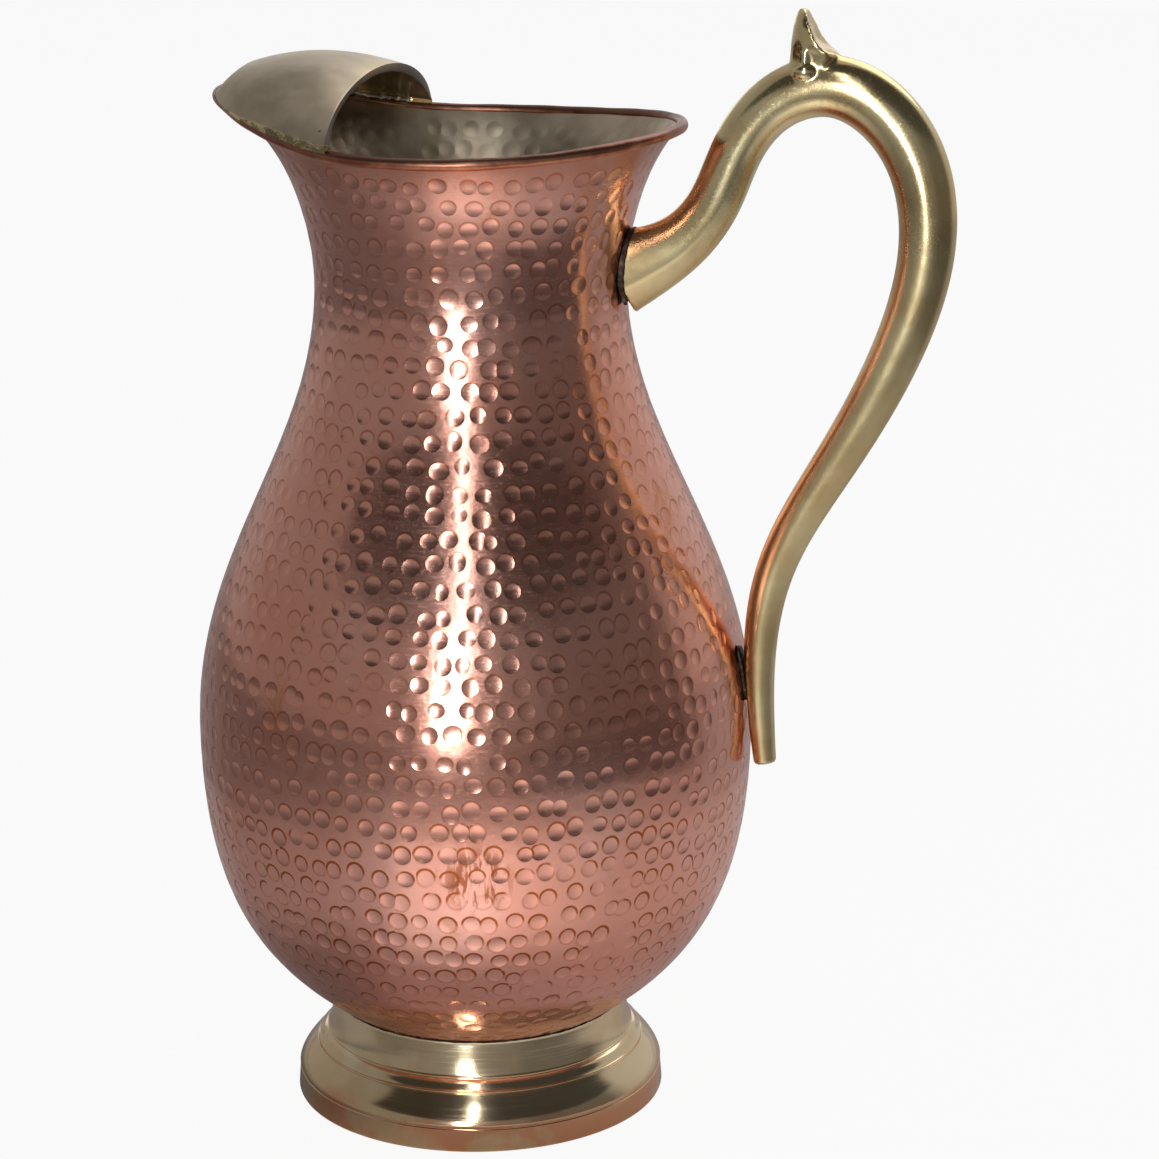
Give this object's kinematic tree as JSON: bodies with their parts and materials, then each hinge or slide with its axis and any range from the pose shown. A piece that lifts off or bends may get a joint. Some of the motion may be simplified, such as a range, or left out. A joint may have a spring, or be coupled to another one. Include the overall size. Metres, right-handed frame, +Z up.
{
  "type": "copper water jug",
  "caption": "Hammered copper water jug with a flared mouth, a brass hood over the spout, a cast brass loop handle with a thumb-piece and a turned brass foot",
  "frame": {"origin": "centre of the foot's base, on the jug's axis, on the surface it stands on", "axes": "+Z up along the jug's axis; the spout points along -X and the handle along +X; XZ is the mirror plane"},
  "size_m": [0.2038, 0.1504, 0.3],
  "materials": {
    "polished_copper": "hammered and polished outside, tinned inside",
    "satin_brass": "cast, satin, slightly pitted",
    "polished_brass": "cast and polished by hand",
    "turned_brass": "turned and polished",
    "solder": "as run, dull",
    "dark_solder": "as run, darkened by the flame"
  },
  "bodies": {
    "root": {"copper_body": "polished_copper", "spout_hood": "satin_brass", "hood_solder_left": "solder", "hood_solder_right": "solder", "handle": "polished_brass", "upper_handle_solder": "solder", "lower_handle_solder": "dark_solder", "foot": "turned_brass", "foot_solder": "solder"}
  },
  "joints": []
}
